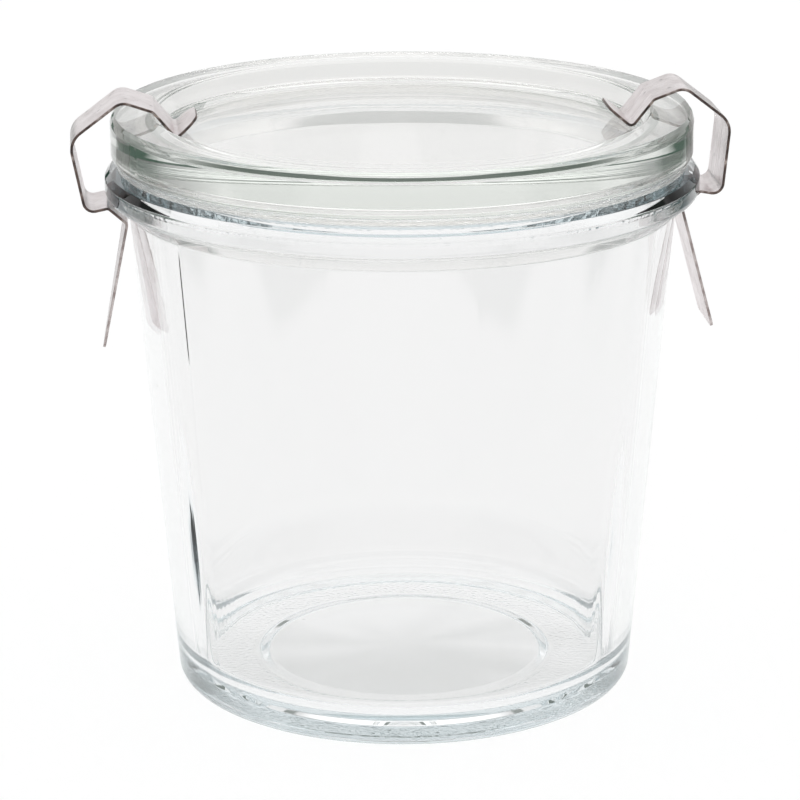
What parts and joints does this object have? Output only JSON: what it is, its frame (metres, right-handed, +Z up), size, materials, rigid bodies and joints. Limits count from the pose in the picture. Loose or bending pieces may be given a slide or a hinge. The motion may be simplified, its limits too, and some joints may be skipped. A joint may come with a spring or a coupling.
{
  "type": "glass canning jar",
  "caption": "Tapered glass canning jar with a rim bead, a dished glass lid, a flat sealing ring and bent spring clips that hook under the bead and press the lid down.",
  "frame": {"origin": "centre of the jar's resting face, on the jar's axis", "axes": "+Z up along the jar's axis, +X towards the right clip and -X towards the left clip"},
  "size_m": [0.121, 0.11, 0.1129],
  "materials": {
    "jar_glass": "clear, faintly blue at the edges",
    "lid_glass": "clear, faintly green at the edges",
    "seal_clear": "smooth, pale",
    "spring_steel": "satin"
  },
  "bodies": {
    "jar": {"jar_body": "jar_glass"},
    "lid": {"lid": "lid_glass", "sealing_ring": "seal_clear"},
    "clip_left": {"clip_left": "spring_steel"},
    "clip_right": {"clip_right": "spring_steel"}
  },
  "joints": [
    {"name": "lid_lift", "type": "slide", "parent": "jar", "child": "lid", "axis": [0, 0, 1], "range_m": [0, 0.0022]},
    {"name": "clip_left_swing", "type": "hinge", "parent": "lid", "child": "clip_left", "pos_m": [-0.0417, 0, 0.10737], "axis": [0, 1, 0], "range_deg": [0, 42]},
    {"name": "clip_right_swing", "type": "hinge", "parent": "lid", "child": "clip_right", "pos_m": [0.0417, 0, 0.10737], "axis": [0, -1, 0], "range_deg": [0, 42]}
  ],
  "couplings": [
    {"joint": "clip_left_swing", "follows": "lid_lift", "rad_per_m": 330},
    {"joint": "clip_right_swing", "follows": "lid_lift", "rad_per_m": 330}
  ]
}
